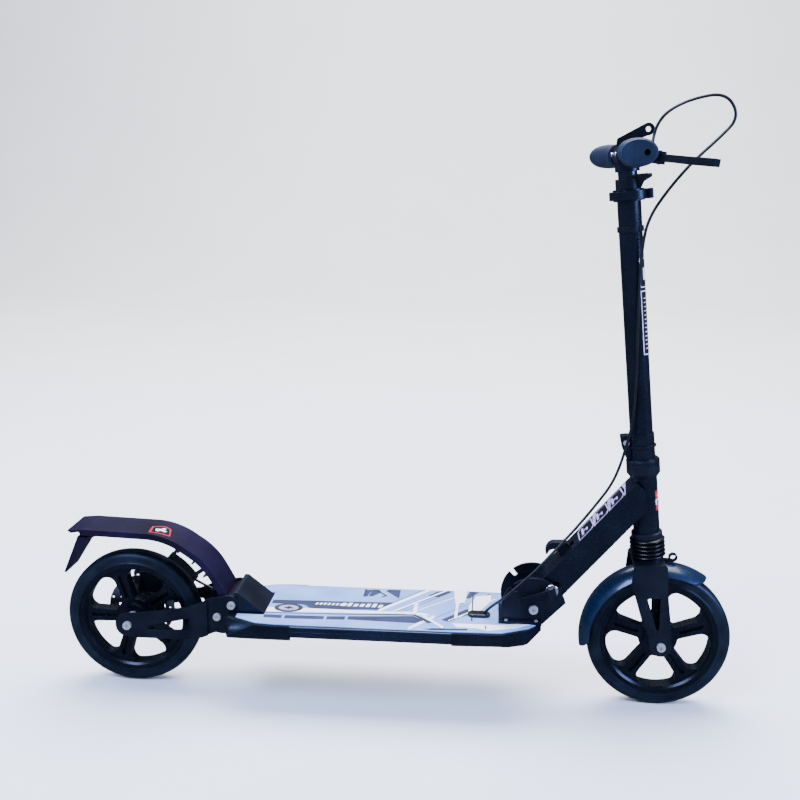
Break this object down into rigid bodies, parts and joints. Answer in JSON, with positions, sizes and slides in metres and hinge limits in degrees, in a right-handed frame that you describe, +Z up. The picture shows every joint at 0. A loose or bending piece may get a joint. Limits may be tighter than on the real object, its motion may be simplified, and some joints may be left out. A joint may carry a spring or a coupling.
{
  "type": "kick scooter",
  "caption": "Folding kick scooter with a railed deck, telescoping T-bar, sprung front fork, hand lever with a rear disc brake, and a foot brake fender.",
  "frame": {"origin": "on the ground in the middle plane, midway between the two axles", "axes": "+X towards the front wheel, +Y to the rider's left, +Z up"},
  "size_m": [0.96, 0.394, 0.8406],
  "materials": {
    "frame_paint": "satin near-black paint with a navy tint",
    "black_paint": "satin black paint",
    "fender_paint": "glossy blue-black moulded plastic",
    "rear_fender_plastic": "black plastic with an indigo sheen",
    "black_plastic": "fine-grained black plastic",
    "rubber": "black rubber",
    "grip_rubber": "mid grey-blue rubber with fine rings",
    "tyre": "blue-black cast polyurethane, smooth",
    "rim_plastic": "black moulded wheel",
    "tape": "ice-blue grit tape printed with bands and chevrons",
    "steel": "zinc plated steel",
    "chrome": "bright chrome",
    "aluminium": "clear anodised aluminium",
    "deck_aluminium": "black anodised extrusion",
    "dark_aluminium": "black anodised aluminium",
    "cable": "black plastic cable housing"
  },
  "bodies": {
    "deck": {"deck_extrusion": "deck_aluminium", "deck_rear_cap": "frame_paint", "deck_front_cap": "frame_paint", "grip_tape": "tape", "rear_fork_plates": "black_paint", "heel_bracket": "black_paint", "fold_bracket": "black_paint", "rear_axle": "steel", "caliper_bracket": "steel", "caliper_body": "black_paint", "brake_pads": "rubber", "cable_port": "rubber", "deck_bolts": "steel", "pivot_bolts": "steel", "fender_spring": "steel", "cable_rear": "cable"},
    "caliper_arm": {"caliper_arm": "steel"},
    "fender": {"rear_fender": "rear_fender_plastic", "fender_brake_pad": "rubber"},
    "rear_wheel": {"rear_tyre": "tyre", "rear_rim": "rim_plastic", "rear_bearings": "steel", "brake_disc": "steel"},
    "neck": {"down_tube": "frame_paint", "head_tube": "frame_paint", "headset_cups": "black_paint", "headset_bearings": "steel", "pivot_sleeve": "steel", "cable_lower": "cable"},
    "latch": {"release_hook": "black_plastic", "latch_skewer": "chrome"},
    "fold_lever": {"fold_lever": "dark_aluminium"},
    "steering": {"outer_stem": "frame_paint", "stem_clamp": "dark_aluminium", "stem_bolts": "steel", "steerer_tube": "steel", "height_collar": "dark_aluminium", "handle_clip": "black_plastic", "cable_clips": "black_plastic", "stem_bushing": "black_plastic", "suspension_spring": "steel", "bellows": "rubber", "cable_upper": "cable"},
    "collar_lever": {"collar_lever": "dark_aluminium"},
    "fork": {"fork_plates": "black_paint", "fork_crown": "black_paint", "front_fender": "fender_paint", "front_axle": "steel"},
    "front_wheel": {"front_tyre": "tyre", "front_rim": "rim_plastic", "front_bearings": "steel"},
    "t_bar": {"inner_stem": "aluminium", "t_joint": "frame_paint", "handle_tubes": "aluminium", "grip_right": "grip_rubber", "grip_left": "grip_rubber", "brake_perch": "black_paint"},
    "brake_lever": {"brake_lever": "black_paint"},
    "button_right": {"handle_button_right": "chrome"},
    "button_left": {"handle_button_left": "chrome"}
  },
  "joints": [
    {"name": "fold", "type": "hinge", "parent": "deck", "child": "neck", "pos_m": [0.2029, 0, 0.146], "axis": [0, -1, 0], "range_deg": [0, 84], "deforming": ["cable_lower"]},
    {"name": "release", "type": "slide", "parent": "neck", "child": "latch", "axis": [0.6508, 0, 0.7593], "range_m": [0, 0.01], "stiffness_N_per_m": 2500, "springref_m": -0.006},
    {"name": "fold_lever", "type": "hinge", "parent": "latch", "child": "fold_lever", "pos_m": [0.22743, -0.0405, 0.17462], "axis": [-0.3419, 0, 0.9397], "range_deg": [0, 100]},
    {"name": "steering", "type": "hinge", "parent": "neck", "child": "steering", "pos_m": [0.37324, 0, 0.0993], "axis": [-0.1028, 0, 0.9947], "range_deg": [-45, 45], "deforming": ["cable_lower"]},
    {"name": "suspension", "type": "slide", "parent": "steering", "child": "fork", "axis": [-0.1028, 0, 0.9947], "range_m": [0, 0.015], "stiffness_N_per_m": 20000, "springref_m": -0.006, "deforming": ["bellows", "suspension_spring"]},
    {"name": "front_wheel_spin", "type": "hinge", "parent": "fork", "child": "front_wheel", "pos_m": [0.38, 0, 0.1], "axis": [0, 1, 0], "continuous": true},
    {"name": "rear_wheel_spin", "type": "hinge", "parent": "deck", "child": "rear_wheel", "pos_m": [-0.38, 0, 0.1], "axis": [0, 1, 0], "continuous": true},
    {"name": "bar_height", "type": "slide", "parent": "steering", "child": "t_bar", "axis": [-0.1028, 0, 0.9947], "range_m": [0, 0.2], "deforming": ["cable_upper"]},
    {"name": "collar_lever", "type": "hinge", "parent": "steering", "child": "collar_lever", "pos_m": [0.33546, -0.0135, 0.71779], "axis": [-0.1028, 0, 0.9947], "range_deg": [0, 110]},
    {"name": "brake_lever", "type": "hinge", "parent": "t_bar", "child": "brake_lever", "pos_m": [0.33404, -0.084, 0.7619], "axis": [-0.1392, 0, -0.9903], "range_deg": [0, 20], "stiffness_Nm_per_rad": 1.5, "springref_deg": -8.59},
    {"name": "caliper_arm", "type": "hinge", "parent": "deck", "child": "caliper_arm", "pos_m": [-0.36, 0.038, 0.143], "axis": [0, 1, 0], "range_deg": [0, 20]},
    {"name": "fender_brake", "type": "hinge", "parent": "deck", "child": "fender", "pos_m": [-0.2268, 0, 0.1353], "axis": [0, -1, 0], "range_deg": [0, 2.5], "stiffness_Nm_per_rad": 30, "springref_deg": -4.58},
    {"name": "button_right", "type": "slide", "parent": "t_bar", "child": "button_right", "axis": [1, 0, 0], "range_m": [0, 0.0035], "stiffness_N_per_m": 800, "springref_m": -0.002},
    {"name": "button_left", "type": "slide", "parent": "t_bar", "child": "button_left", "axis": [1, 0, 0], "range_m": [0, 0.0035], "stiffness_N_per_m": 800, "springref_m": -0.002}
  ],
  "couplings": [
    {"joint": "caliper_arm", "follows": "brake_lever", "ratio": 1}
  ]
}
